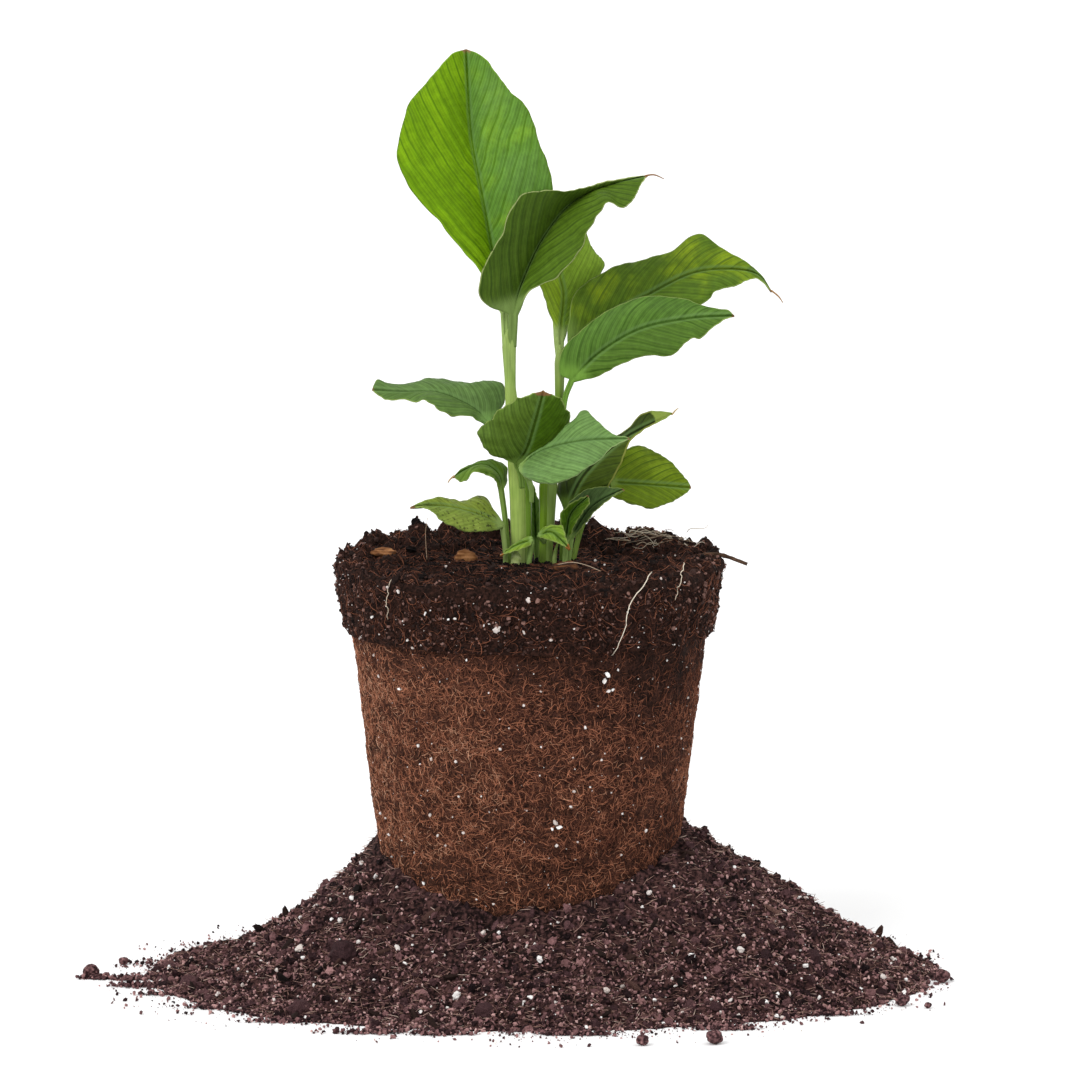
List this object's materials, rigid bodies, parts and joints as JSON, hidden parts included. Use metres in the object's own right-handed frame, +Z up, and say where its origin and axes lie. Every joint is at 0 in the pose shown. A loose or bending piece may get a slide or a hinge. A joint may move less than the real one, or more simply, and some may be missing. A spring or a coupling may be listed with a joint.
{
  "type": "potted turmeric plant",
  "caption": "Young turmeric plant with broad veined leaves, its bare root ball shaped by a round nursery pot and standing in a heap of loose potting soil.",
  "frame": {"origin": "on the root ball's axis, at the floor that the heap of soil rests on", "axes": "+Z up; +X to the right and +Y to the rear when the plant is seen from the front, with the tall bright leaf at the upper left"},
  "size_m": [0.367, 0.3074, 0.3891],
  "materials": {
    "loose_soil": "matte",
    "rooted_soil": "matte",
    "stem": "satin",
    "leaf": "satin",
    "bright_leaf": "satin",
    "old_leaf": "satin",
    "bud": "satin",
    "twig": "matte",
    "bark": "matte"
  },
  "bodies": {
    "root": {"soil_heap": "loose_soil", "root_ball": "rooted_soil", "left_shoot": "stem", "right_shoot": "stem", "crown_leaf": "bright_leaf", "folded_leaf": "leaf", "rear_leaf": "old_leaf", "upper_right_leaf": "leaf", "lower_right_leaf": "leaf", "left_leaf": "leaf", "front_left_leaf": "leaf", "front_right_leaf": "leaf", "curled_leaf": "leaf", "speckled_leaf": "old_leaf", "right_low_leaf": "bright_leaf", "long_tip_leaf": "leaf", "dark_low_leaf": "leaf", "young_leaf": "bright_leaf", "low_left_leaf": "bright_leaf", "low_right_leaf": "old_leaf", "rear_young_leaf": "leaf", "young_bud": "bud", "young_sheath": "bud", "twig": "twig", "left_bark_chip": "bark", "middle_bark_chip": "bark", "flat_bark_chip": "bark", "clod_1": "loose_soil", "clod_2": "loose_soil", "clod_3": "loose_soil", "clod_4": "loose_soil", "clod_5": "loose_soil", "clod_6": "loose_soil", "clod_7": "loose_soil", "clod_8": "loose_soil"}
  },
  "joints": []
}
